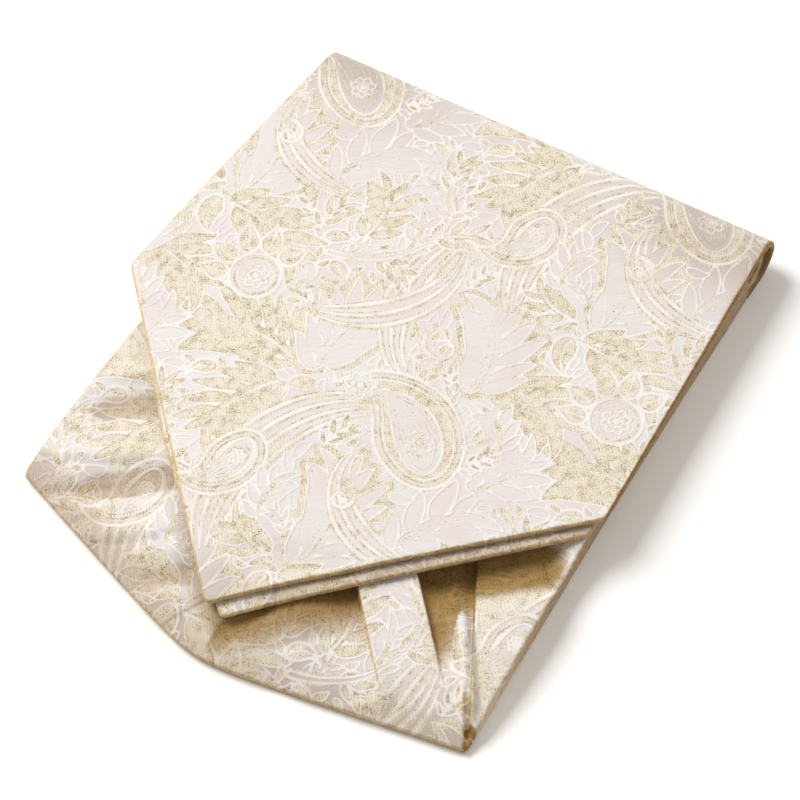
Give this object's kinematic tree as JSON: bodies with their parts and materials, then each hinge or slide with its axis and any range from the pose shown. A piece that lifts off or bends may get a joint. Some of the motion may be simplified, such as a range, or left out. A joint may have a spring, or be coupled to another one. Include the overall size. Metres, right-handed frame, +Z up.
{
  "type": "folded silk cravat",
  "caption": "Silk jacquard day cravat folded flat: pointed blades over a pleated stretch, with a rounded fold at the top.",
  "frame": {"origin": "on the surface that the cravat rests on, under the middle of its bounding box", "axes": "+X across the blades, +Y from the blades' points to the top fold, +Z up"},
  "size_m": [0.1567, 0.1938, 0.0155],
  "materials": {
    "silk_jacquard": "satin jacquard with gold-toned paisley figures",
    "silk_layers": "folded edges of the same satin jacquard"
  },
  "bodies": {
    "root": {"front_blade": "silk_jacquard", "back_blade": "silk_jacquard", "pleated_stretch": "silk_jacquard", "folded_core": "silk_layers"}
  },
  "joints": []
}
